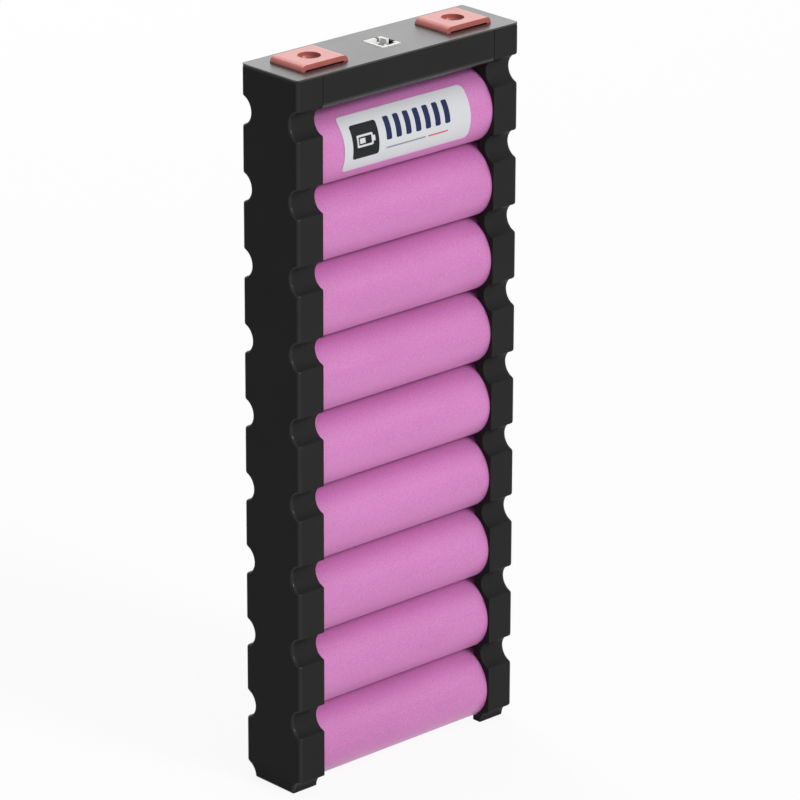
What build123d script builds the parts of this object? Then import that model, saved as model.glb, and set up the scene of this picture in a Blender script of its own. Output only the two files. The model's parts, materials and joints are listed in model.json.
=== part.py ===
"""Battery module: nine cylindrical cells stacked side by side and plugged into two moulded
end frames, with a bar across the top that carries two copper terminals and a sense header.

Frame: X runs along the cells, Y through the depth, Z up. The origin is on the floor, midway
between the two end frames. All sizes are in millimetres.
"""
from build123d import *
from math import radians, sin
import os

# ---- cells -------------------------------------------------------------------------------
cell_count = 9
cell_diameter = 18.4          # over the sleeve
cell_length = 65.2            # over the sleeve
cell_gap = 0.3                # between neighbouring sleeves
sleeve_wall = 0.12
sleeve_room = 0.03            # between the steel can and its sleeve
sleeve_lip = 1.6              # how far the shrunk sleeve folds in over each end
end_bevel = 0.6               # on the can's and the sleeve's end corners
bead_from_end = 3.0           # rolled groove under the crimp, from the positive end
bead_width = 1.6
bead_depth = 0.9
crimp_bore = 13.0             # opening in the crimped rim
crimp_recess = 0.7            # gasket level below the rim
cap_diameter = 8.6
ring_thickness = 0.2
ring_bore = 9.4
ring_margin = 0.3             # the paper ring stops this short of the sleeve

# ---- end frames --------------------------------------------------------------------------
end_wall = 1.5                # closed outer wall behind the collector strip
strip_channel = 0.8           # depth of the channel between the end wall and the sockets
face_wall = 0.45              # skin in front of a socket at its thinnest place
socket_clearance = 0.05       # round a sleeved cell
end_clearance = 0.1           # between a cell's end and its socket floor
frame_width = 7.8
corner_radius = 0.8           # upright outer corners
groove_radius = 3.5           # air grooves between the cells, front and back
groove_standoff = 0.5         # groove centre outside the face
lip_radius = 0.45
web_slot = 8.6                # open slot down the middle of the socket webs
channel_foot = 2.0            # channel below the end of the strip

# ---- bar and plate -----------------------------------------------------------------------
head_height = 11.3            # above the top cell's pitch
plate_thickness = 0.4
bar_lift = 2.7                # open gap between the bar and the top cell's pitch
bar_edge_radius = 1.6
bar_roof = 1.5
joint_gap = 0.15              # bar to end frame
fit = 0.1                     # clearance round inserted pieces
tongue_length = 3.4
tongue_width = 1.8
tongue_height = 4.0
tongue_spacing = 14.2         # between the two tongues at one end of the bar

# ---- terminals and their nuts ------------------------------------------------------------
terminal_length = 14.3        # along X
terminal_width = 11.0         # along Y
terminal_thickness = 1.25
terminal_lift = 0.25          # gap between a terminal and the plate, and its bends' inside radius
terminal_inset = 5.1          # from the module's side to the terminal's outer edge
terminal_hole = 5.5
hole_setback = 4.5            # from an end frame's inner face to the hole
anchor_leg = 4.0              # inner leg, below the top of the plate
nut_across_flats = 8.0
nut_height = 4.0
nut_bore = 4.2
nut_chamfer = 0.45
bolt_room = 3.0               # blind room for the bolt's end below the nut

# ---- collector strips --------------------------------------------------------------------
strip_width = 8.0
strip_thickness = 0.3
strip_bend = 0.7
strip_rise = 2.6              # top of the strip's inward run above the top cell's pitch
strip_overlap = 0.2           # strip beyond the terminal leg that stands on it
strip_tail = 5.5              # strip below the lowest cell's axis
slit_width = 1.0              # weld slit at each cell
slit_length = 6.0

# ---- sense header and board --------------------------------------------------------------
header_depth = 7.1            # along Y
header_width = 5.9            # along X
header_height = 7.0
header_wall = 0.85
header_floor = 1.6
header_proud = 0.05           # rim above the plate
header_round = 0.3
key_depth = 4.6
narrow_key_x = 1.3            # narrow key slot, in the back wall beside the right corner
narrow_key_width = 0.8
wide_key_y = -0.4             # wide key slot, in the right wall
wide_key_width = 2.25
pin_size = 0.64
pin_pitch = 2.5
pin_recess = 0.4              # tips below the rim
pin_tail = 0.9                # below the board
pin_point = 0.18
pin_play = 0.02
board_length = 28.0
board_width = 14.0
board_thickness = 1.0
board_radius = 1.0
solder_hole = 1.0
stake_diameter = 2.0
stake_spacing = 24.6
stake_head_diameter = 3.2
stake_head = 0.45
ledge_long = 3.5              # the board bears on these ledges in the bar
ledge_side = 1.6
thermistor_length = 3.2
thermistor_width = 1.6
thermistor_height = 0.9
thermistor_place = 8.0        # along X from the middle

# ---- sticker on the top cell -------------------------------------------------------------
label_length = 40.0
label_arc = 88.0              # degrees round the cell
label_middle = 10.5           # degrees above the horizontal
label_thickness = 0.1
label_radius = 1.2

# ---- worked out from the values above ----------------------------------------------------
cell_radius = cell_diameter / 2
cell_pitch = cell_diameter + cell_gap
cell_heights = [cell_pitch * (cell_count - row + 0.5) for row in range(1, cell_count + 1)]
cell_end = cell_length / 2
stack_height = cell_count * cell_pitch
height = stack_height + head_height
depth = cell_diameter + 2 * (socket_clearance + face_wall)
socket_radius = cell_radius + socket_clearance
socket_floor = cell_end + end_clearance
channel_floor = socket_floor + strip_channel
side = channel_floor + end_wall                  # outer face of an end frame
frame_inner = side - frame_width                 # its face towards the middle
body_top = height - plate_thickness
groove_y = depth / 2 + groove_standoff
bar_bottom = stack_height + bar_lift
bar_end = frame_inner - joint_gap
tongue_z = (bar_bottom + body_top) / 2
hole_x = frame_inner - hole_setback
terminal_outer = side - terminal_inset
terminal_inner = terminal_outer - terminal_length
terminal_bend = terminal_thickness + terminal_lift   # outside radius of the two bends
terminal_under = height + terminal_lift
terminal_top = terminal_under + terminal_thickness
anchor_end = height - anchor_leg
nut_bottom = terminal_under - nut_height
strip_outer = cell_end + strip_thickness
strip_top = stack_height + strip_rise
strip_inner = terminal_outer - terminal_thickness - strip_overlap
strip_low = cell_heights[-1] - strip_tail
header_rim = height + header_proud
board_top = header_rim - header_height
board_bottom = board_top - board_thickness
pin_top = header_rim - pin_recess
pin_bottom = board_bottom - pin_tail
pin_places = [(0, -pin_pitch / 2), (0, pin_pitch / 2)]
stake_places = [(-stake_spacing / 2, 0), (stake_spacing / 2, 0)]

os.makedirs("parts", exist_ok=True)


def save(piece, name):
    """Label a finished piece and write it to its own file."""
    piece.label = name
    export_step(piece, f"parts/{name}.step")


# ---- cells: can, sleeve and paper ring ---------------------------------------------------
# One cell is turned about the X axis at the origin, positive end to the left.
can_radius = cell_radius - sleeve_wall - sleeve_room
can_foot = cell_end - sleeve_wall                # flat negative end
can_rim = -(can_foot - ring_thickness)           # crimped rim at the positive end
bead_x = -(cell_end - bead_from_end)

with BuildPart() as cell_can:
    with BuildSketch(Plane.XZ) as can_half:
        with BuildLine():
            Polyline(
                (can_foot, 0),
                (can_foot, can_radius),
                (bead_x + bead_width / 2, can_radius),
                (bead_x + bead_width / 4, can_radius - bead_depth),
                (bead_x - bead_width / 4, can_radius - bead_depth),
                (bead_x - bead_width / 2, can_radius),
                (can_rim, can_radius),
                (can_rim, crimp_bore / 2),
                (can_rim + crimp_recess, crimp_bore / 2),
                (can_rim + crimp_recess, cap_diameter / 2),
                (-cell_end, cap_diameter / 2),
                (-cell_end, 0),
                close=True,
            )
        make_face()
        rim_corners = can_half.vertices().group_by(Axis.Y)[-1].sort_by(Axis.X)
        chamfer([rim_corners[0], rim_corners[-1]], end_bevel)
    revolve(axis=Axis.X)

with BuildPart() as cell_sleeve:
    with BuildSketch(Plane.XZ) as sleeve_half:
        with Locations((0, cell_radius - sleeve_lip)):
            Rectangle(cell_length, sleeve_lip, align=(Align.CENTER, Align.MIN))
        chamfer(sleeve_half.vertices().group_by(Axis.Y)[-1], end_bevel)
        with BuildSketch(mode=Mode.SUBTRACT) as sleeve_bore:
            Rectangle(
                cell_length - 2 * sleeve_wall,
                cell_radius - sleeve_wall,
                align=(Align.CENTER, Align.MIN),
            )
            chamfer(sleeve_bore.vertices().group_by(Axis.Y)[-1], end_bevel)
    revolve(axis=Axis.X)

with BuildPart() as cell_ring:
    with BuildSketch(Plane.YZ.offset(-can_foot)):
        Circle(can_radius - ring_margin - end_bevel)
        Circle(ring_bore / 2, mode=Mode.SUBTRACT)
    extrude(amount=ring_thickness)

for number, level in enumerate(cell_heights, start=1):
    for piece, name in ((cell_can, "can"), (cell_sleeve, "sleeve"), (cell_ring, "ring")):
        with BuildPart() as placed:
            with Locations((0, 0, level)):
                add(piece.part)
        save(placed.part, f"cell_{name}_{number}")

# ---- end frames --------------------------------------------------------------------------
# The right one is modelled and the left one is its mirror image. The plan outline and the
# grooved side outline are crossed, then the sockets, webs, channel and head are cut.
groove_levels = [cell_pitch * step for step in range(cell_count + 1)]

with BuildPart() as end_frame_right:
    with BuildSketch() as plan:
        with Locations((frame_inner, 0)):
            Rectangle(frame_width, depth, align=(Align.MIN, Align.CENTER))
        fillet(plan.vertices().group_by(Axis.X)[-1], corner_radius)
    extrude(amount=body_top)
    with BuildSketch(Plane.YZ.offset(frame_inner)) as grooved:
        Rectangle(depth, body_top, align=(Align.CENTER, Align.MIN))
        with Locations([(y, z) for z in groove_levels for y in (-groove_y, groove_y)]):
            Circle(groove_radius, mode=Mode.SUBTRACT)
        lips = grooved.vertices().filter_by(
            lambda v: abs(abs(v.X) - depth / 2) < 0.01 and v.Y < body_top - lip_radius
        )
        fillet(lips, lip_radius)
    extrude(amount=frame_width, mode=Mode.INTERSECT)
    with BuildSketch(Plane.YZ.offset(frame_inner)):
        with Locations([(0, level) for level in cell_heights]):
            Circle(socket_radius)
        Rectangle(web_slot, cell_heights[0], align=(Align.CENTER, Align.MIN))
    extrude(amount=socket_floor - frame_inner, mode=Mode.SUBTRACT)
    with BuildSketch(Plane.YZ.offset(channel_floor)):
        with Locations((0, strip_low - channel_foot)):
            Rectangle(
                web_slot,
                strip_top + fit - strip_low + channel_foot,
                align=(Align.CENTER, Align.MIN),
            )
    extrude(amount=cell_end - fit - channel_floor, mode=Mode.SUBTRACT)
    with BuildSketch(Plane.XY.offset(strip_top + fit)):
        with Locations((strip_inner - fit, 0)):
            Rectangle(channel_floor - strip_inner + fit, web_slot, align=(Align.MIN, Align.CENTER))
    extrude(amount=-(strip_thickness + 2 * fit), mode=Mode.SUBTRACT)
    with BuildSketch(Plane.XY.offset(body_top)):
        with Locations((terminal_outer + fit, 0)):
            Rectangle(
                terminal_thickness + 2 * fit,
                terminal_width + 2 * fit,
                align=(Align.MAX, Align.CENTER),
            )
    extrude(amount=-(body_top - strip_top), mode=Mode.SUBTRACT)
    with BuildSketch(Plane.YZ.offset(frame_inner)):
        with Locations((0, tongue_z)):
            with GridLocations(tongue_spacing, 0, 2, 1):
                Rectangle(tongue_width + 2 * fit, tongue_height + 2 * fit)
    extrude(amount=tongue_length + fit, mode=Mode.SUBTRACT)

with BuildPart() as end_frame_left:
    mirror(end_frame_right.part, about=Plane.YZ)

save(end_frame_right.part, "end_frame_right")
save(end_frame_left.part, "end_frame_left")

# ---- top bar -----------------------------------------------------------------------------
# It spans the end frames, keyed by two tongues at each end. The board hangs in its underside
# on two heat stakes, and the nuts drop into hexagonal pockets in its top.
with BuildPart() as top_bar:
    with BuildSketch(Plane.YZ.offset(-bar_end)) as section:
        with Locations((0, bar_bottom)):
            Rectangle(depth, body_top - bar_bottom, align=(Align.CENTER, Align.MIN))
        fillet(section.vertices().group_by(Axis.Y)[0], bar_edge_radius)
    extrude(amount=2 * bar_end)
    with BuildSketch(Plane.YZ.offset(-bar_end - tongue_length)):
        with Locations((0, tongue_z)):
            with GridLocations(tongue_spacing, 0, 2, 1):
                Rectangle(tongue_width, tongue_height)
    extrude(amount=2 * (bar_end + tongue_length))
    with BuildSketch(Plane.XY.offset(bar_bottom)):
        RectangleRounded(board_length + 2 * fit, board_width + 2 * fit, board_radius + fit)
    extrude(amount=board_top - bar_bottom, mode=Mode.SUBTRACT)
    with BuildSketch(Plane.XY.offset(board_top)):
        RectangleRounded(
            board_length - 2 * ledge_long, board_width - 2 * ledge_side, board_radius
        )
    extrude(amount=body_top - bar_roof - board_top, mode=Mode.SUBTRACT)
    with BuildSketch(Plane.XY.offset(body_top)):
        Rectangle(header_width + 2 * fit, header_depth + 2 * fit)
    extrude(amount=-2 * bar_roof, mode=Mode.SUBTRACT)
    with BuildSketch(Plane.XY.offset(nut_bottom)):
        with GridLocations(2 * hole_x, 0, 2, 1):
            RegularPolygon(nut_across_flats / 2 + fit, 6, major_radius=False, rotation=30)
    extrude(amount=body_top - nut_bottom, mode=Mode.SUBTRACT)
    with BuildSketch(Plane.XY.offset(nut_bottom)):
        with GridLocations(2 * hole_x, 0, 2, 1):
            Circle(terminal_hole / 2)
    extrude(amount=-bolt_room, mode=Mode.SUBTRACT)
    with BuildSketch(Plane.XY.offset(body_top)):
        with GridLocations(2 * terminal_inner + terminal_thickness, 0, 2, 1):
            Rectangle(terminal_thickness + 2 * fit, terminal_width + 2 * fit)
    extrude(amount=-(body_top - anchor_end + fit), mode=Mode.SUBTRACT)
    with BuildSketch(Plane.XY.offset(board_top)):
        with Locations(stake_places):
            Circle(stake_diameter / 2)
    extrude(amount=-board_thickness)
    with BuildSketch(Plane.XY.offset(board_bottom)):
        with Locations(stake_places):
            Circle(stake_head_diameter / 2)
    extrude(amount=-stake_head, taper=30)
save(top_bar.part, "top_bar")

# ---- top plate ---------------------------------------------------------------------------
with BuildPart() as top_plate:
    with BuildSketch(Plane.XY.offset(body_top)):
        RectangleRounded(2 * side, depth, corner_radius)
        Rectangle(header_width + 2 * fit, header_depth + 2 * fit, mode=Mode.SUBTRACT)
        with GridLocations(2 * hole_x, 0, 2, 1):
            RegularPolygon(
                nut_across_flats / 2 + fit,
                6,
                major_radius=False,
                rotation=30,
                mode=Mode.SUBTRACT,
            )
        with GridLocations(2 * terminal_inner + terminal_thickness, 0, 2, 1):
            Rectangle(
                terminal_thickness + 2 * fit, terminal_width + 2 * fit, mode=Mode.SUBTRACT
            )
        with GridLocations(2 * terminal_outer - terminal_thickness, 0, 2, 1):
            Rectangle(
                terminal_thickness + 2 * fit, terminal_width + 2 * fit, mode=Mode.SUBTRACT
            )
    extrude(amount=plate_thickness)
save(top_plate.part, "top_plate")

# ---- terminals: copper straps bent into staples -------------------------------------------
with BuildPart() as terminal_right:
    with BuildSketch(Plane.XZ) as staple:
        with BuildLine():
            outline = FilletPolyline(
                (terminal_outer, strip_top),
                (terminal_outer, terminal_top),
                (terminal_inner, terminal_top),
                (terminal_inner, anchor_end),
                radius=terminal_bend,
            )
            offset(outline, amount=terminal_thickness, side=Side.LEFT)
        make_face()
    extrude(amount=terminal_width / 2, both=True)
    with Locations((hole_x, 0, terminal_top)):
        Hole(terminal_hole / 2, depth=2 * terminal_thickness)

with BuildPart() as terminal_left:
    mirror(terminal_right.part, about=Plane.YZ)

save(terminal_right.part, "terminal_right")
save(terminal_left.part, "terminal_left")

# ---- nuts --------------------------------------------------------------------------------
with BuildPart() as turned_blank:
    with Locations((hole_x, 0, nut_bottom)):
        Cylinder(
            nut_across_flats / 3**0.5,
            nut_height,
            align=(Align.CENTER, Align.CENTER, Align.MIN),
        )
    chamfer(turned_blank.edges().filter_by(GeomType.CIRCLE), nut_chamfer)

with BuildPart() as terminal_nut_right:
    with BuildSketch(Plane.XY.offset(nut_bottom)):
        with Locations((hole_x, 0)):
            RegularPolygon(nut_across_flats / 2, 6, major_radius=False, rotation=30)
            Circle(nut_bore / 2, mode=Mode.SUBTRACT)
    extrude(amount=nut_height)
    add(turned_blank.part, mode=Mode.INTERSECT)

with BuildPart() as terminal_nut_left:
    mirror(terminal_nut_right.part, about=Plane.YZ)

save(terminal_nut_right.part, "terminal_nut_right")
save(terminal_nut_left.part, "terminal_nut_left")

# ---- collector strips --------------------------------------------------------------------
# A strip runs up the cells' ends and turns inwards under the terminal's outer leg.
with BuildPart() as collector_right:
    with BuildSketch(Plane.XZ) as strip_side:
        with BuildLine():
            strip_line = FilletPolyline(
                (strip_outer, strip_low),
                (strip_outer, strip_top),
                (strip_inner, strip_top),
                radius=strip_bend,
            )
            offset(strip_line, amount=strip_thickness, side=Side.LEFT)
        make_face()
    extrude(amount=strip_width / 2, both=True)
    with BuildSketch(Plane.YZ.offset(cell_end)):
        with Locations([(0, level) for level in cell_heights]):
            SlotOverall(slit_length, slit_width, rotation=90)
    extrude(amount=strip_thickness, mode=Mode.SUBTRACT)

with BuildPart() as collector_left:
    mirror(collector_right.part, about=Plane.YZ)

save(collector_right.part, "collector_right")
save(collector_left.part, "collector_left")

# ---- sense header ------------------------------------------------------------------------
with BuildPart() as header_housing:
    with BuildSketch(Plane.XY.offset(board_top)):
        RectangleRounded(header_width, header_depth, header_round)
    extrude(amount=header_height)
    with BuildSketch(Plane.XY.offset(board_top + header_floor)):
        Rectangle(header_width - 2 * header_wall, header_depth - 2 * header_wall)
    extrude(amount=header_height - header_floor, mode=Mode.SUBTRACT)
    with BuildSketch(Plane.XY.offset(header_rim)):
        with Locations((narrow_key_x, header_depth / 2)):
            Rectangle(narrow_key_width, 2 * header_wall)
        with Locations((header_width / 2, wide_key_y)):
            Rectangle(2 * header_wall, wide_key_width)
    extrude(amount=-key_depth, mode=Mode.SUBTRACT)
    with BuildSketch(Plane.XY.offset(board_top)):
        with Locations(pin_places):
            Rectangle(pin_size + pin_play, pin_size + pin_play)
    extrude(amount=header_floor, mode=Mode.SUBTRACT)
save(header_housing.part, "header_housing")

for number, place in enumerate(pin_places, start=1):
    with BuildPart() as header_pin:
        with BuildSketch(Plane.XY.offset(pin_bottom)):
            with Locations(place):
                Rectangle(pin_size, pin_size)
        extrude(amount=pin_top - pin_bottom)
        chamfer(header_pin.faces().filter_by(Axis.Z).edges(), pin_point)
    save(header_pin.part, f"header_pin_{number}")

# ---- sense board and its thermistor ------------------------------------------------------
with BuildPart() as sense_board:
    with BuildSketch(Plane.XY.offset(board_bottom)):
        RectangleRounded(board_length, board_width, board_radius)
        with Locations(pin_places):
            Circle(solder_hole / 2, mode=Mode.SUBTRACT)
        with Locations(stake_places):
            Circle(stake_diameter / 2 + fit / 2, mode=Mode.SUBTRACT)
    extrude(amount=board_thickness)
save(sense_board.part, "sense_board")

with BuildPart() as thermistor:
    with BuildSketch(Plane.XY.offset(board_bottom)):
        with Locations((thermistor_place, 0)):
            Rectangle(thermistor_length, thermistor_width)
    extrude(amount=-thermistor_height)
    chamfer(thermistor.edges().filter_by(Axis.X), thermistor_height / 6)
save(thermistor.part, "thermistor")

# ---- sticker -----------------------------------------------------------------------------
# A thin sheet wrapped on the front of the top cell: a slice of a tube, trimmed to a rounded
# rectangle as seen square on.
sticker_plane = Plane(
    origin=(0, 0, cell_heights[0]),
    x_dir=(1, 0, 0),
    z_dir=Vector(0, -1, 0).rotate(Axis.X, -label_middle),
)
sticker_height = 2 * cell_radius * sin(radians(label_arc / 2))

with BuildPart() as label:
    with BuildSketch(Plane.YZ.offset(-label_length / 2)):
        with Locations((0, cell_heights[0])):
            Circle(cell_radius + label_thickness)
            Circle(cell_radius, mode=Mode.SUBTRACT)
    extrude(amount=label_length)
    with BuildSketch(sticker_plane):
        RectangleRounded(label_length, sticker_height, label_radius)
    extrude(amount=cell_diameter, mode=Mode.INTERSECT)
save(label.part, "label")
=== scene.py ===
# %% [markdown]
# # A battery module, finished in Blender
#
# The object is a battery module: nine cylindrical cells in pink shrink sleeves, held between
# two black moulded end frames, with two copper terminals and a white header on top. Its solid
# pieces are already modelled at their real size. This lesson loads them as a fixed frame and
# gives every surface its finish. It adds the few things that the solid model leaves out: the
# print on the sticker, a fine round on the rims of the end frames, and the threads in the
# nuts.

# %% Load the frame
import bmesh
import bpy
import json
import math
from mathutils import Matrix, Vector


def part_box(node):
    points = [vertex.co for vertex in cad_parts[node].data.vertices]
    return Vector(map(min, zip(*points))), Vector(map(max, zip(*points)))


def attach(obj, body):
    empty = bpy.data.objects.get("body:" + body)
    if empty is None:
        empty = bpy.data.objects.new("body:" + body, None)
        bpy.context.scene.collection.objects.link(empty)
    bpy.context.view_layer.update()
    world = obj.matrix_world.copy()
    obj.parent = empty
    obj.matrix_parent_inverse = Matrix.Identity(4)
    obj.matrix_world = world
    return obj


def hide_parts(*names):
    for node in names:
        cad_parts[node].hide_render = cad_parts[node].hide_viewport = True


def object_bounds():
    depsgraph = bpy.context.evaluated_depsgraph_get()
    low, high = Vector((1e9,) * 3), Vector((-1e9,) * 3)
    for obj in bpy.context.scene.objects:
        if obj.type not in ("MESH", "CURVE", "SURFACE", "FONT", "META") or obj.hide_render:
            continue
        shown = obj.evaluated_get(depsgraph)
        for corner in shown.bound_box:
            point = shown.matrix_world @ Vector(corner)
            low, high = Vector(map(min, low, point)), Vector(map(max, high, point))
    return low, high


MM = 0.001
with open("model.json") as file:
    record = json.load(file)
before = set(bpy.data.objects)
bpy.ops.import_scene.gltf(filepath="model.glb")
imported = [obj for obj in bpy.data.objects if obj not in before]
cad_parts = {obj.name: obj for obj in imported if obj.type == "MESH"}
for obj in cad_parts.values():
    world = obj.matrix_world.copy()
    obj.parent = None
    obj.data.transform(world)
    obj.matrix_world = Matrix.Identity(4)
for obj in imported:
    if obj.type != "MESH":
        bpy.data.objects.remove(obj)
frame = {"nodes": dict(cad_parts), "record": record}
cad_box = [list(corner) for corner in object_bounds()]
low, high = (Vector(corner) for corner in cad_box)
middle = (low + high) / 2
print("frame box in mm:", [round(value / MM, 1) for value in high - low])

# %% [markdown]
# ## Shader maths as plain expressions
#
# A procedural finish is mostly arithmetic on numbers that vary over the surface. It could be
# wired by hand, node by node, but that hides the formula. So a small class wraps a node's
# output socket and overloads the operators, and an expression such as `1 - mask * 0.5` adds
# its own Math nodes. Every other node comes from one method, `node`.

# %% A socket that does arithmetic
class Value:
    """One output socket of a node, usable in Python expressions."""

    def __init__(self, wiring, socket):
        self.wiring = wiring
        self.socket = socket

    def __add__(self, other):
        return self.wiring.maths("ADD", self, other)

    __radd__ = __add__

    def __mul__(self, other):
        return self.wiring.maths("MULTIPLY", self, other)

    __rmul__ = __mul__

    def __sub__(self, other):
        return self.wiring.maths("SUBTRACT", self, other)

    def __rsub__(self, other):
        return self.wiring.maths("SUBTRACT", other, self)

    def above(self, other):
        return self.wiring.maths("GREATER_THAN", self, other)

    def below(self, other):
        return self.wiring.maths("LESS_THAN", self, other)

    def size(self):
        return self.wiring.maths("ABSOLUTE", self)

    def at_least(self, other):
        return self.wiring.maths("MAXIMUM", self, other)

    def at_most(self, other):
        return self.wiring.maths("MINIMUM", self, other)

    def power(self, other):
        return self.wiring.maths("POWER", self, other)

    def angle_over(self, other):
        """The angle of a point whose height is this value and whose reach is the other."""
        return self.wiring.maths("ARCTAN2", self, other)


# %% A node tree that takes such values
class Wiring:
    """The node tree of a material or of the world."""

    def __init__(self, tree):
        self.tree = tree

    def node(self, kind, settings=None, sockets=None, output=0):
        """Add a node, set its settings, then fill its sockets, by their name or number."""
        new = self.tree.nodes.new(kind)
        for key, setting in (settings or {}).items():
            setattr(new, key, setting)
        for key, value in (sockets or {}).items():
            self.feed(new.inputs[key], value)
        return Value(self, new.outputs[output])

    def feed(self, socket, value):
        """Link a value to a socket, or set a plain number, vector or colour on it."""
        if isinstance(value, Value):
            self.tree.links.new(value.socket, socket)
        elif value is not None:
            socket.default_value = value

    def maths(self, operation, *values):
        return self.node("ShaderNodeMath", {"operation": operation}, dict(enumerate(values)))

    def ramp(self, value, low_in, high_in, low_out=0.0, high_out=1.0):
        """Map a value from one range to another, clamped."""
        sockets = {
            "Value": value, "From Min": low_in, "From Max": high_in,
            "To Min": low_out, "To Max": high_out,
        }
        return self.node("ShaderNodeMapRange", {"clamp": True}, sockets)

    def blend(self, factor, first, second):
        """A colour between two colours. A Mix node keeps its colour sockets at 6 and 7."""
        sockets = {0: factor, 6: first, 7: second}
        return self.node("ShaderNodeMix", {"data_type": "RGBA"}, sockets, output=2)


# %% A material that is painted with them
class Paint(Wiring):
    """A material with one Principled shader, painted over the object's own coordinates."""

    def __init__(self, name, **constants):
        self.material = bpy.data.materials.new(name)
        self.material.use_nodes = True
        super().__init__(self.material.node_tree)
        self.shader = self.tree.nodes["Principled BSDF"]
        self.finish(**constants)

    def finish(self, **looks):
        """Feed the shader's sockets, each named with _ for a space."""
        for name, value in looks.items():
            self.feed(self.shader.inputs[name.replace("_", " ")], value)
        return self.material

    def place(self):
        """The point's own coordinates on the object, in metres."""
        return self.node("ShaderNodeTexCoord", output="Object")

    def axes(self):
        """The point's X, Y and Z as three values."""
        split = self.node("ShaderNodeSeparateXYZ", None, {"Vector": self.place()})
        return [Value(self, output) for output in split.socket.node.outputs]

    def noise(self, scale, detail=3.0, stretch=(1, 1, 1)):
        """Cloudy noise from 0 to 1, with `scale` lumps in a metre."""
        spot = self.node("ShaderNodeMapping", None, {"Vector": self.place(), "Scale": stretch})
        sockets = {"Vector": spot, "Scale": scale, "Detail": detail, "Roughness": 0.5}
        return self.node("ShaderNodeTexNoise", None, sockets)

    def bump(self, height, distance, strength, under=None):
        """Small relief, `distance` metres deep, on top of the relief `under` it."""
        sockets = {"Strength": strength, "Distance": distance, "Height": height, "Normal": under}
        return self.node("ShaderNodeBump", None, sockets)


def colour(red, green, blue):
    """A colour for a shader socket."""
    return (red, green, blue, 1.0)


def print_finishes(*materials):
    """Say which materials were made, and how large their node trees are."""
    for material in materials:
        print(material.name, "nodes:", len(material.node_tree.nodes))


# %% [markdown]
# ## Black moulded plastic
#
# The end frames and the bar are injection moulded, nearly black, with a fine spark-eroded
# grain that spreads the highlights. The grain could be an image, but noise in the object's own
# coordinates never repeats and needs no unwrapping. The base colour varies only a little, and
# the grain goes into the bump. One function makes the plastic, because the frames and the bar
# each add a polish of their own.

# %% Moulded plastic
NOISE_RANGE = (0.3, 0.7)      # a noise runs from 0 to 1, but seldom leaves this range


def moulded_plastic(name):
    """The plain plastic, still open for a coat."""
    paint = Paint(name, Specular_IOR_Level=0.5, IOR=1.08, Coat_Roughness=0.2)
    grain = paint.noise(5200, detail=2.0)
    cloud = paint.noise(60, detail=4.0)
    shade = paint.blend(cloud, colour(0.0190, 0.0188, 0.0186), colour(0.0240, 0.0237, 0.0234))
    paint.finish(
        Base_Color=shade,
        Roughness=paint.ramp(cloud, *NOISE_RANGE, 0.36, 0.44),
        Normal=paint.bump(grain, distance=0.02 * MM, strength=0.35),
    )
    return paint


# %% The frames' handled rims
# Handling has polished the frames just inside their outer faces. The faces themselves stay
# dull.
RIM_WEAR = 0.9 * MM           # how far in from the outer face the polish reaches
RIM_WEAR_FULL = 0.6           # the share of that width that has all of it
RIM_SKIN = 0.02 * MM          # the outer face itself
RIM_COAT = 0.26


def worn_frame():
    paint = moulded_plastic("black_moulding")
    inset = high.x - paint.axes()[0].size()
    rubbed = paint.ramp(inset, RIM_WEAR, RIM_WEAR * RIM_WEAR_FULL) * inset.above(RIM_SKIN)
    return paint.finish(Coat_Weight=rubbed * RIM_COAT)


black_moulding = worn_frame()
print_finishes(black_moulding)

# %% The bar's polished lower edge
# The tool's split line runs along the bar's lower edge, and there its surface is polished.
BAR_EDGE = 1.7 * MM
BAR_COAT = 0.7
bar_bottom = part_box("top_bar")[0][2]


def polished_bar():
    paint = moulded_plastic("bar_moulding")
    height = paint.axes()[2]
    edge = paint.ramp(height, bar_bottom + BAR_EDGE, bar_bottom + BAR_EDGE / 2)
    return paint.finish(Coat_Weight=edge * BAR_COAT)


bar_moulding = polished_bar()
print_finishes(bar_moulding)
print("bar's lower edge at", round(bar_bottom / MM, 1), "mm")

# %% [markdown]
# ## The top plate
#
# The thin plate over the top is smoother than the mouldings, so it mirrors the pale room at a
# low angle and looks grey from the front, although its own colour is black. A grey colour
# would look the same from there and wrong from above, so the gloss does it.

# %% Plate film
def plate_film():
    paint = Paint("black_plate", Specular_IOR_Level=0.7, IOR=1.5)
    grain = paint.noise(4200, detail=2.0)
    cloud = paint.noise(45, detail=3.0)
    shade = paint.blend(cloud, colour(0.010, 0.010, 0.0105), colour(0.014, 0.0138, 0.0145))
    return paint.finish(
        Base_Color=shade,
        Roughness=paint.ramp(cloud, *NOISE_RANGE, 0.30, 0.36),
        Normal=paint.bump(grain, distance=0.01 * MM, strength=0.3),
    )


black_plate = plate_film()
print_finishes(black_plate)

# %% [markdown]
# ## Shrink sleeves
#
# Each cell wears a satin pink PVC sleeve, shrunk on with heat. The colour is strong, with a
# faint speckle in it. Shrinking leaves slight ripples along the cell, so that noise is
# stretched along X, with a finer orange peel on top. A thin rough coat stands for the film's
# own skin, and gives the long soft highlight that a single roughness would lose.

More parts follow.
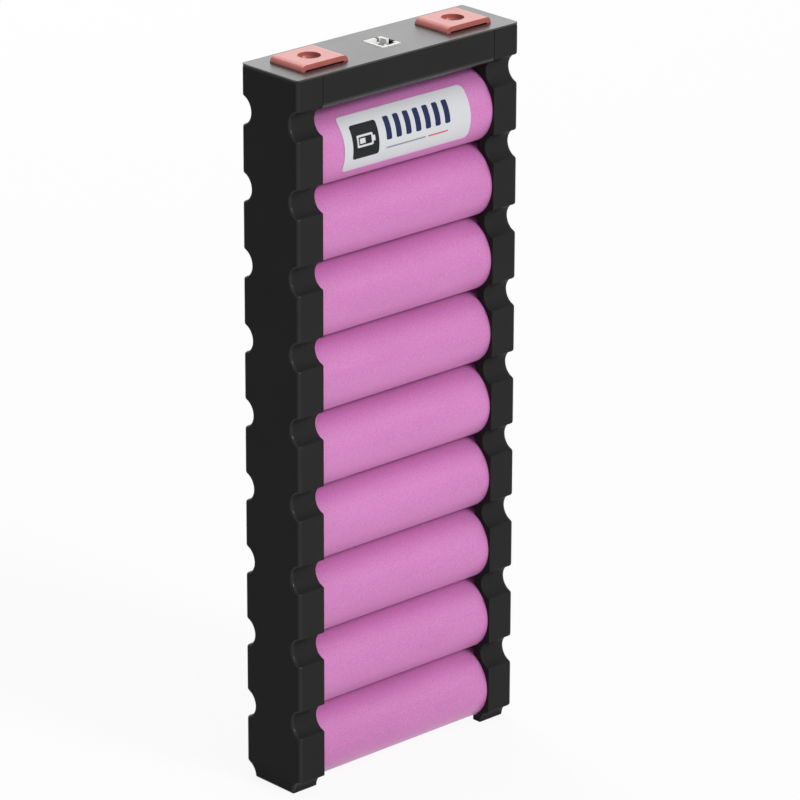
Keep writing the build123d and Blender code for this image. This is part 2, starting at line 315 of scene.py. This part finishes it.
# %% Sleeve film
def sleeve_film():
    paint = Paint(
        "pink_sleeve", Specular_IOR_Level=0.35, IOR=1.5, Sheen_Weight=0.10, Sheen_Roughness=0.4,
        Coat_Roughness=0.35,
    )
    ripple = paint.noise(260, detail=2.0, stretch=(0.15, 1, 1))
    peel = paint.noise(3200, detail=2.0)
    cloud = paint.noise(70, detail=3.0, stretch=(0.4, 1, 1))
    speckle = paint.ramp(cloud * 0.3 + peel * 0.7, 0.40, 0.60)
    waves = paint.bump(ripple, distance=0.06 * MM, strength=0.25)
    return paint.finish(
        Base_Color=paint.blend(speckle, colour(0.495, 0.152, 0.392), colour(0.575, 0.192, 0.468)),
        Roughness=paint.ramp(ripple, *NOISE_RANGE, 0.42, 0.54),
        Coat_Weight=paint.ramp(cloud, *NOISE_RANGE, 0.22, 0.34),
        Normal=paint.bump(peel, distance=0.04 * MM, strength=0.4, under=waves),
    )


pink_sleeve = sleeve_film()
print_finishes(pink_sleeve)

# %% [markdown]
# ## Bare metals
#
# Nickel, zinc, tin and steel differ in colour and in how they were worked. Rolled and drawn
# metal carries fine lines along the way it was worked, so one function makes them all: two
# colours, a roughness range and the stretch of the lines.

# %% Worked metal
TWO_NOISES = (0.6, 1.4)       # the same range for the sum of two noises


def worked_metal(name, dark, light, rough, stretch, line_scale=1800):
    """Bare metal with a cloudy colour, and lines that are long where `stretch` is small."""
    paint = Paint(name, Metallic=1.0)
    lines = paint.noise(line_scale, detail=3.0, stretch=stretch)
    cloud = paint.noise(160, detail=4.0)
    return paint.finish(
        Base_Color=paint.blend(cloud, dark, light),
        Roughness=paint.ramp(cloud + lines, *TWO_NOISES, *rough),
        Normal=paint.bump(lines, distance=0.012 * MM, strength=0.4),
    )


nickel = worked_metal(
    "nickel_strip", dark=colour(0.62, 0.60, 0.56), light=colour(0.72, 0.70, 0.66),
    rough=(0.22, 0.36), stretch=(1, 1, 0.05),
)
zinc = worked_metal(
    "zinc_nut", dark=colour(0.66, 0.67, 0.68), light=colour(0.78, 0.78, 0.78),
    rough=(0.28, 0.42), stretch=(1, 1, 1), line_scale=900,
)
tin = worked_metal(
    "tinned_pin", dark=colour(0.72, 0.72, 0.70), light=colour(0.82, 0.82, 0.80),
    rough=(0.20, 0.32), stretch=(1, 1, 0.1),
)
can_steel = worked_metal(
    "plated_can", dark=colour(0.60, 0.60, 0.60), light=colour(0.70, 0.70, 0.70),
    rough=(0.25, 0.38), stretch=(0.08, 1, 1),
)
print_finishes(nickel, zinc, tin, can_steel)

# %% [markdown]
# ## Copper terminals
#
# The terminal straps are dull red copper, not polished: the light that scatters in the thin
# oxide is red, and a clear lacquer on top catches the pale room at a low angle. A fully
# metallic shader would mirror the room and go pale, so the metal is only partly metallic, with
# a satin coat over it.

# %% Lacquered copper
def lacquered_copper():
    paint = Paint(
        "lacquered_copper", Metallic=0.35, IOR=1.5, Specular_IOR_Level=0.5, Coat_Roughness=0.28
    )
    rolling = paint.noise(1800, detail=3.0, stretch=(0.06, 1, 1))
    oxide = paint.noise(240, detail=4.0)
    return paint.finish(
        Base_Color=paint.blend(oxide, colour(0.43, 0.105, 0.088), colour(0.51, 0.135, 0.112)),
        Roughness=paint.ramp(oxide + rolling, *TWO_NOISES, 0.36, 0.50),
        Coat_Weight=paint.ramp(oxide, *NOISE_RANGE, 0.30, 0.45),
        Normal=paint.bump(rolling, distance=0.012 * MM, strength=0.4),
    )


copper = lacquered_copper()
print_finishes(copper)

# %% [markdown]
# ## Nylon, paper, board and glaze
#
# The remaining pieces are small. Each still gets its own grain and a slight change of colour,
# because a single flat colour looks like a drawing.

# %% Small finishes
def mottled(name, dark, light, rough, cloud_scale, grain_scale, depth, gloss):
    """A finish with a cloudy colour and a fine grain, `depth` deep."""
    paint = Paint(name, Specular_IOR_Level=gloss)
    cloud = paint.noise(cloud_scale, detail=4.0)
    grain = paint.noise(grain_scale, detail=2.0)
    return paint.finish(
        Base_Color=paint.blend(cloud, dark, light),
        Roughness=paint.ramp(cloud, *NOISE_RANGE, *rough),
        Normal=paint.bump(grain, distance=depth, strength=0.4),
    )


nylon = mottled(
    "white_nylon", dark=colour(0.80, 0.80, 0.78), light=colour(0.87, 0.87, 0.85),
    rough=(0.38, 0.5), cloud_scale=300, grain_scale=4000, depth=0.015 * MM, gloss=0.4,
)
paper = mottled(
    "fish_paper", dark=colour(0.72, 0.69, 0.62), light=colour(0.80, 0.77, 0.70),
    rough=(0.7, 0.85), cloud_scale=900, grain_scale=3000, depth=0.03 * MM, gloss=0.2,
)
solder_mask = mottled(
    "solder_mask", dark=colour(0.010, 0.075, 0.030), light=colour(0.016, 0.105, 0.042),
    rough=(0.25, 0.4), cloud_scale=350, grain_scale=1500, depth=0.01 * MM, gloss=0.5,
)
chip_glaze = mottled(
    "thermistor_glaze", dark=colour(0.05, 0.045, 0.04), light=colour(0.09, 0.08, 0.07),
    rough=(0.25, 0.4), cloud_scale=800, grain_scale=2500, depth=0.01 * MM, gloss=0.5,
)
print_finishes(nylon, paper, solder_mask, chip_glaze)

# %% [markdown]
# ## The sticker
#
# The sticker is white film, wrapped on the top cell. Its print is generic: a dark block with
# a plain cell symbol, a row of gauge bars and two thin rules. Thin solids for the ink would
# stand proud of the film, and an image would need a file, so the print is drawn in the shader
# from the film's own measure: X along the cell, and the arc length round it.

# %% Shapes of ink
SHARP = 0.0001                # the round that stands for a sharp corner


def ink_block(across, up, place, size, corner=SHARP):
    """1 inside a block with rounded corners, 0 outside, in the units of `across` and `up`."""
    beyond_side = (across - place[0]).size() - (size[0] / 2 - corner)
    beyond_end = (up - place[1]).size() - (size[1] / 2 - corner)
    squared = beyond_side.at_least(0).power(2) + beyond_end.at_least(0).power(2)
    inner = beyond_side.at_least(beyond_end).at_most(0)
    return (squared.power(0.5) + inner).below(corner)


# %% Measures on the film
# Places on the sticker are in millimetres: across from the middle of the cell, and up from
# the middle of the sticker.
cell_low, cell_high = (Vector(corner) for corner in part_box("cell_sleeve_1"))
cell_axis = (cell_low + cell_high) / 2
sleeve_radius = (cell_high.z - cell_low.z) / 2
STICKER_TILT = math.radians(10.5)      # the sticker's middle is this far above the horizontal


def film_measure(paint):
    """The two measures of a point on the film, across and up."""
    x, y, z = paint.axes()
    turn = (z - cell_axis.z).angle_over(cell_axis.y - y)
    return x * (1 / MM), (turn - STICKER_TILT) * (sleeve_radius / MM)


print("the sticker wraps a radius of", round(sleeve_radius / MM, 2), "mm")


# %% A block with a cell symbol
def symbol_ink(across, up):
    """The dark block, less the outline of a cell and the charge in it."""
    block = ink_block(across, up, place=(-13.3, 0.1), size=(8.2, 8.2), corner=0.7)
    body = ink_block(across, up, place=(-13.5, 0.1), size=(5.0, 2.9), corner=0.35)
    nub = ink_block(across, up, place=(-10.7, 0.1), size=(0.7, 1.3))
    window = ink_block(across, up, place=(-13.5, 0.1), size=(4.0, 1.9), corner=0.1)
    charge = ink_block(across, up, place=(-14.3, 0.1), size=(1.7, 1.2))
    return block * (1 - body.at_least(nub) * (1 - window * (1 - charge)))


# %% A row of bars
BAR_COUNT = 7
BAR_STEP = 3.1
FIRST_BAR = (-6.0, 1.5)
BAR_SIZE = (1.7, 5.6)
BAR_CORNER = 0.4


def bar_ink(across, up):
    bars = ink_block(across, up, FIRST_BAR, BAR_SIZE, BAR_CORNER)
    for number in range(1, BAR_COUNT):
        place = (FIRST_BAR[0] + BAR_STEP * number, FIRST_BAR[1])
        bars = bars.at_least(ink_block(across, up, place, BAR_SIZE, BAR_CORNER))
    return bars


# %% Printed film
def printed_film():
    paint = Paint("sticker_film", Specular_IOR_Level=0.15)
    across, up = film_measure(paint)
    cloud = paint.noise(120, detail=4.0)
    grain = paint.noise(2200, detail=2.0)
    symbol = symbol_ink(across, up)
    bars = bar_ink(across, up)
    grey_rule = ink_block(across, up, place=(-0.6, -3.2), size=(12.5, 0.4))
    red_rule = ink_block(across, up, place=(9.6, -3.2), size=(6.4, 0.4))

    film = paint.blend(cloud, colour(0.550, 0.557, 0.580), colour(0.585, 0.592, 0.615))
    film = paint.blend(symbol, film, colour(0.008, 0.008, 0.010))
    film = paint.blend(bars, film, colour(0.010, 0.019, 0.070))
    film = paint.blend(grey_rule, film, colour(0.22, 0.23, 0.29))
    film = paint.blend(red_rule, film, colour(0.55, 0.10, 0.10))
    thick_ink = symbol.at_least(bars)
    return paint.finish(
        Base_Color=film,
        Roughness=paint.ramp(cloud, *NOISE_RANGE, 0.42, 0.50) - thick_ink * 0.08,
        Normal=paint.bump(grain, distance=0.012 * MM, strength=0.3),
    )


sticker_film = printed_film()
print_finishes(sticker_film)

# %% [markdown]
# ## Every piece gets its finish
#
# The solid model names a slot on each of its pieces, so the finishes could be handed out piece
# by piece or slot by slot. Slot by slot, one short table serves all 43 pieces. Only the bar
# shares a slot and has a finish of its own, because it is polished in another place than the
# frames are.

# %% Hand out the finishes
finishes = {
    "steel_can": can_steel,
    "pink_sleeve": pink_sleeve,
    "paper_ring": paper,
    "black_plastic": black_moulding,
    "black_plate": black_plate,
    "copper": copper,
    "nut_steel": zinc,
    "nickel": nickel,
    "white_nylon": nylon,
    "tinned_pin": tin,
    "board": solder_mask,
    "thermistor_body": chip_glaze,
    "label_film": sticker_film,
}
for entry in frame["record"]["subparts"]:
    piece = frame["nodes"][entry["node"]]
    for slot in piece.material_slots:
        slot.material = finishes[entry["material_slot"]]
for slot in frame["nodes"]["top_bar"].material_slots:
    slot.material = bar_moulding

# %% [markdown]
# ## Softer rims on the end frames
#
# The moulded frames have a small round where each groove runs out at the outer face, and it
# catches the light. It is too fine for the solid model. A Bevel modifier by angle would round
# every sharp edge of the frame, so a merged copy of each frame gets a bevel on just the edges
# of the run-outs: those between a groove's wall, which has no slope along X, and the outer
# skin, which faces X.

# %% Which edges are rims
RIM_ROUND = 0.55 * MM
RIM_STEPS = 3
RIM_DEPTH = 1.0 * MM          # rims lie no further in from the outer face than this
SHARP_TURN = math.radians(35)
WALL_FACING = 0.02            # a groove's wall faces along X by less than this share
SKIN_FACING = 0.3             # and the outer skin by more than this


def rim_edges(shell, reach):
    """The sharp edges, beyond `reach`, between the outer skin and the grooves' walls."""
    found = []
    for edge in shell.edges:
        if len(edge.link_faces) != 2 or edge.calc_face_angle(0) < SHARP_TURN:
            continue
        facings = sorted(abs(face.normal.x) for face in edge.link_faces)
        outside = min(abs(corner.co.x) for corner in edge.verts) > reach
        if outside and facings[0] < WALL_FACING and facings[1] > SKIN_FACING:
            found.append(edge)
    return found


# %% A merged copy to work on
# A node of the solid model is loose triangles. The copy's doubles are merged, and triangles
# that share a plane become one face, so that a bevel meets clean edges.
def merged_copy(name):
    """A copy of a node, merged and left in edit mode."""
    copy = bpy.data.objects.new(name + "_softened", frame["nodes"][name].data.copy())
    bpy.context.collection.objects.link(copy)
    bpy.ops.object.select_all(action="DESELECT")
    copy.select_set(True)
    bpy.context.view_layer.objects.active = copy
    bpy.ops.object.mode_set(mode="EDIT")
    bpy.ops.mesh.select_all(action="SELECT")
    bpy.ops.mesh.remove_doubles(threshold=0.001 * MM)
    bpy.ops.mesh.customdata_custom_splitnormals_clear()
    bpy.ops.mesh.dissolve_limited(angle_limit=math.radians(0.5))
    bpy.ops.mesh.select_all(action="DESELECT")
    return copy


# %% Even shading for the flat faces
# The new rounds would tilt the shading of the large faces beside them, so the normals are
# weighted by the faces' areas.
def level_shading(piece):
    bpy.ops.object.shade_smooth_by_angle(angle=SHARP_TURN)
    level_faces = piece.modifiers.new("level_faces", "WEIGHTED_NORMAL")
    level_faces.keep_sharp = True
    level_faces.weight = 100
    bpy.ops.object.modifier_apply(modifier="level_faces")


# %% Bevel the run-outs of the grooves
def soften_frame(name):
    softened = merged_copy(name)
    shell = bmesh.from_edit_mesh(softened.data)
    box_low, box_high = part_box(name)
    outer = max(abs(box_low[0]), abs(box_high[0]))
    rim = rim_edges(shell, outer - RIM_DEPTH)
    for edge in rim:
        edge.select_set(True)
    bmesh.update_edit_mesh(softened.data)
    bpy.ops.mesh.bevel(offset=RIM_ROUND, segments=RIM_STEPS, affect="EDGES", clamp_overlap=False)
    bpy.ops.mesh.select_all(action="SELECT")
    bpy.ops.mesh.remove_doubles(threshold=0.002 * MM)
    bpy.ops.mesh.quads_convert_to_tris()
    shell = bmesh.from_edit_mesh(softened.data)
    open_edges = sum(len(edge.link_faces) != 2 for edge in shell.edges)
    bpy.ops.object.mode_set(mode="OBJECT")
    level_shading(softened)
    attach(softened, "root")
    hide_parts(name)
    print(softened.name, "rims:", len(rim), "faces:", len(softened.data.polygons),
          "open edges:", open_edges)


for side in ("left", "right"):
    soften_frame("end_frame_" + side)

# %% [markdown]
# ## Threads in the nuts
#
# The nut under each terminal is tapped. Its bore is plain in the solid model, so a ridge with
# a pointed section winds up the wall. Bump would shade the wall but leave it round from the
# edge, so the ridge is a real shape: a triangle is placed at the bore's radius with one corner
# towards the axis, and a Screw modifier carries it round and up.

# %% Wind one thread
THREAD_PITCH = 0.8 * MM
THREAD_STEPS = 24             # sections in one turn
BORE_RADIUS = 2.1 * MM
RIDGE = 0.22 * MM             # from the section's centre to its corner


def wind_thread(side):
    nut_low, nut_high = (Vector(corner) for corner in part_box("terminal_nut_" + side))
    bpy.ops.object.select_all(action="DESELECT")
    bpy.ops.mesh.primitive_circle_add(
        vertices=3, radius=RIDGE, fill_type="NOTHING", location=(BORE_RADIUS, 0, 0),
        rotation=(math.radians(90), math.radians(-90), 0),
    )
    thread = bpy.context.object
    thread.name = "nut_thread_" + side
    bpy.ops.object.transform_apply(location=True, rotation=True, scale=True)
    screw = thread.modifiers.new("turns", "SCREW")
    screw.axis = "Z"
    screw.screw_offset = THREAD_PITCH
    screw.iterations = int((nut_high.z - nut_low.z - THREAD_PITCH) / THREAD_PITCH)
    screw.steps = THREAD_STEPS
    screw.render_steps = THREAD_STEPS
    bpy.ops.object.modifier_apply(modifier="turns")
    bpy.ops.object.mode_set(mode="EDIT")
    bpy.ops.mesh.select_all(action="SELECT")
    bpy.ops.mesh.fill_holes(sides=3)
    bpy.ops.mesh.normals_make_consistent(inside=False)
    bpy.ops.object.mode_set(mode="OBJECT")
    centre = (nut_low + nut_high) / 2
    thread.location = (centre.x, centre.y, nut_low.z + THREAD_PITCH / 2)
    bpy.ops.object.transform_apply(location=True, rotation=True, scale=True)
    thread.data.materials.append(zinc)
    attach(thread, "root")
    print(thread.name, "faces:", len(thread.data.polygons))


for side in ("left", "right"):
    wind_thread(side)

# %% [markdown]
# ## The floor
#
# A product like this is shown on pure white with a faint contact shadow. Raising the lamps
# until the floor clips would also wash out the object, so the floor and the world are white
# only for the rays that the camera sends, directly or by way of a gloss or glass. A small part
# of the floor's look still answers to the lamps, and that part keeps the shadow.

# %% White for the eye, plain for the light
def seen_ray(wiring):
    """1 for rays from the camera, from a gloss or through glass, otherwise 0."""
    seen = wiring.node("ShaderNodeLightPath", output="Is Camera Ray")
    path = seen.socket.node
    for name in ("Is Glossy Ray", "Is Transmission Ray"):
        seen = seen.at_least(Value(wiring, path.outputs[name]))
    return seen


# %% Floor
FLOOR_SIZE = 14.0
FLOOR_GLOW = 0.90             # the part of the floor's look that is plain white
bpy.ops.object.select_all(action="DESELECT")
bpy.ops.mesh.primitive_plane_add(size=FLOOR_SIZE, location=(0, 0, low.z))
floor = bpy.context.object
floor.name = "floor"
floor_paint = Paint(
    "floor_white", Base_Color=colour(0.86, 0.86, 0.86), Roughness=0.9, Specular_IOR_Level=0.0
)
glow = floor_paint.node("ShaderNodeEmission", None, {"Color": colour(1, 1, 1), "Strength": 1.0})
share = seen_ray(floor_paint) * FLOOR_GLOW
lit = Value(floor_paint, floor_paint.shader.outputs[0])
mixed = floor_paint.node("ShaderNodeMixShader", None, {0: share, 1: lit, 2: glow})
floor_paint.feed(floor_paint.tree.nodes["Material Output"].inputs["Surface"], mixed)
floor.data.materials.append(floor_paint.material)
print("floor is", FLOOR_SIZE, "m wide at z =", low.z)

# %% [markdown]
# ## The room
#
# The object stands in a pale tent. A world of one strength would light it flat, so the
# strength rises towards one side: above, to the right and a little to the front. Only the
# light has this slope, and the eye sees plain white all round.

# %% World
ROOM_LEVEL = 0.35
ROOM_SWING = 0.20             # how far the level rises and falls
ROOM_SIDE = (0.62, -0.40, 0.67)
world = bpy.data.worlds.new("pale_room")
world.use_nodes = True
bpy.context.scene.world = world
room = Wiring(world.node_tree)
direction = room.node("ShaderNodeTexCoord", output="Generated")
facing = room.node(
    "ShaderNodeVectorMath", {"operation": "DOT_PRODUCT"}, {0: direction, 1: ROOM_SIDE},
    output="Value",
)
light = room.ramp(facing, -1.0, 1.0, ROOM_LEVEL - ROOM_SWING, ROOM_LEVEL + ROOM_SWING)
backdrop = room.tree.nodes["Background"]
room.feed(backdrop.inputs["Color"], colour(1, 1, 1))
room.feed(backdrop.inputs["Strength"], room.ramp(seen_ray(room), 0.0, 1.0, light, 1.0))
print("room level", ROOM_LEVEL, "give or take", ROOM_SWING)

# %% [markdown]
# ## The lamps
#
# Three square area lamps stand round the object, and their size keeps the shadows soft. The
# key lamp is in front, low enough to reach into the grooves between the cells, where a higher
# one would leave dark bands. A weaker one lights the far side. The third is low behind, where
# the top plate mirrors it.

# %% Lamps
def soft_lamp(name, spot, size, watts):
    """A square area lamp at a spot, turned towards the middle of the object."""
    data = bpy.data.lights.new(name, "AREA")
    data.size = size
    data.energy = watts
    lamp = bpy.data.objects.new(name, data)
    bpy.context.collection.objects.link(lamp)
    lamp.location = spot
    lamp.rotation_euler = (middle - Vector(spot)).to_track_quat("-Z", "Y").to_euler()
    lamp.visible_camera = False
    print(name, "stands", round((Vector(spot) - middle).length, 2), "m away")


soft_lamp("key_lamp", spot=(0.25, -1.48, 0.95), size=0.5, watts=18.5)
soft_lamp("rear_lamp", spot=(0.30, 1.55, 0.95), size=0.8, watts=10.0)
soft_lamp("back_lamp", spot=(0.66, 1.04, 0.52), size=0.9, watts=3.0)

# %% [markdown]
# ## The camera
#
# It stands in front, to the left and a little above, with a long lens that keeps the uprights
# nearly parallel. Its place is worked out from two angles and a distance, which are easier to
# adjust than three coordinates.

# %% Camera
VIEW_AZIMUTH = math.radians(42.7)
VIEW_ELEVATION = math.radians(20.79)
VIEW_DISTANCE = 1.2451
VIEW_ROLL = math.radians(0.12)
FOCAL_LENGTH = 234.4
LENS_SHIFT = 0.0155
SIDE_STEP = 0.00154           # the camera stands this far to the right of the middle
AIM_HEIGHT = 0.0904           # the height that the lens points at

forward = Vector((
    math.sin(VIEW_AZIMUTH) * math.cos(VIEW_ELEVATION),
    math.cos(VIEW_AZIMUTH) * math.cos(VIEW_ELEVATION),
    -math.sin(VIEW_ELEVATION),
))
sideways = forward.cross(Vector((0, 0, 1))).normalized()
aim = Vector((middle.x, middle.y, AIM_HEIGHT)) + sideways * SIDE_STEP
upright = forward.to_track_quat("-Z", "Y").to_matrix()

camera_data = bpy.data.cameras.new("camera")
camera_data.lens = FOCAL_LENGTH
camera_data.shift_x = LENS_SHIFT
camera = bpy.data.objects.new("camera", camera_data)
bpy.context.collection.objects.link(camera)
camera.location = aim - forward * VIEW_DISTANCE
camera.rotation_euler = (Matrix.Rotation(-VIEW_ROLL, 3, forward) @ upright).to_euler()
scene = bpy.context.scene
scene.camera = camera
scene.view_settings.view_transform = "Standard"
print("camera at", [round(value, 3) for value in camera.location])
